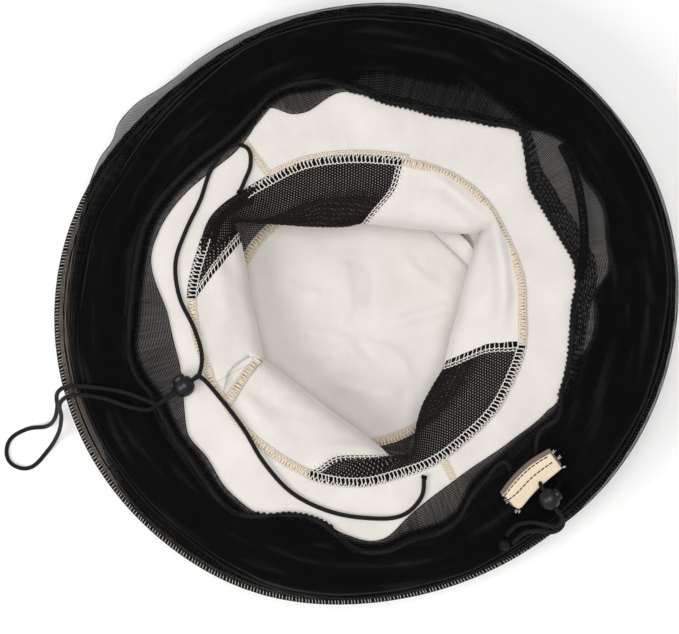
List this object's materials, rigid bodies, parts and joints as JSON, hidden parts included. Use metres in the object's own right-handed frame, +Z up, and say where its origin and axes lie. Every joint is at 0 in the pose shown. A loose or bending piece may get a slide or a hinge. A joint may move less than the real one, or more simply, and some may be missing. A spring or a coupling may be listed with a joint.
{
  "type": "beekeeping veil",
  "caption": "Cotton hat with mesh crown vents and a sprung brim, laid upside down with its gathered black net veil folded inside the rim and a chin cord with ball cord lock.",
  "frame": {"origin": "under the middle of the sprung rim, on the surface that the crown top rests on", "axes": "+Z up, out of the hat's open side; +X and +Y in the plane of the brim, +X towards the right of the hat as seen from above"},
  "size_m": [0.3957, 0.3452, 0.073],
  "materials": {
    "cotton": "matte",
    "tab_cotton": "matte",
    "crown_mesh": "matte",
    "veil_net": "matte",
    "brim_binding": "matte",
    "thread_cream": "matte",
    "thread_dark": "matte",
    "cord_black": "satin",
    "lock_plastic": "satin",
    "spring_steel": "satin"
  },
  "bodies": {
    "hat": {"crown_top": "cotton", "crown_top_overlock": "thread_cream", "crown_base_overlock": "thread_cream", "crown_wall_cotton_right": "cotton", "crown_wall_mesh_upper": "crown_mesh", "crown_wall_cotton_left": "cotton", "crown_wall_mesh_lower": "crown_mesh", "wall_overlock_1": "thread_cream", "wall_overlock_2": "thread_cream", "wall_overlock_3": "thread_cream", "wall_overlock_4": "thread_cream", "brim_panel_left": "cotton", "brim_panel_right": "cotton", "brim_overlock_lower": "thread_cream", "brim_overlock_upper": "thread_cream", "hoop_wire": "spring_steel", "hoop_sleeve": "spring_steel", "hoop_casing": "brim_binding", "rim_overlock": "thread_dark", "veil_net": "veil_net", "veil_hem_casing": "veil_net", "veil_drawcord": "cord_black", "drawcord_knot": "cord_black", "veil_tab": "tab_cotton", "chin_cord": "cord_black", "chin_anchor_upper": "cord_black", "chin_anchor_lower": "cord_black"},
    "chin_lock": {"chin_lock_body": "lock_plastic", "chin_lock_spring": "spring_steel"},
    "chin_button": {"chin_lock_button": "lock_plastic"},
    "veil_lock": {"veil_lock_body": "lock_plastic", "veil_lock_spring": "spring_steel"},
    "veil_button": {"veil_lock_button": "lock_plastic"}
  },
  "joints": [
    {"name": "chin_lock_slide", "type": "slide", "parent": "hat", "child": "chin_lock", "axis": [-0.8112, -0.568, 0.1392], "range_m": [0, 0.01], "deforming": ["chin_cord"]},
    {"name": "chin_button_press", "type": "slide", "parent": "chin_lock", "child": "chin_button", "axis": [0.5736, -0.8192, 0], "range_m": [0, 0.0015], "stiffness_N_per_m": 1500, "springref_m": -0.0008, "deforming": ["chin_lock_spring"]},
    {"name": "veil_lock_slide", "type": "slide", "parent": "hat", "child": "veil_lock", "axis": [0.5446, -0.8387, 0], "range_m": [0, 0.006], "deforming": ["veil_drawcord"]},
    {"name": "veil_button_press", "type": "slide", "parent": "veil_lock", "child": "veil_button", "axis": [-0.8387, -0.5446, 0], "range_m": [0, 0.0015], "stiffness_N_per_m": 1500, "springref_m": -0.0008, "deforming": ["veil_lock_spring"]}
  ]
}
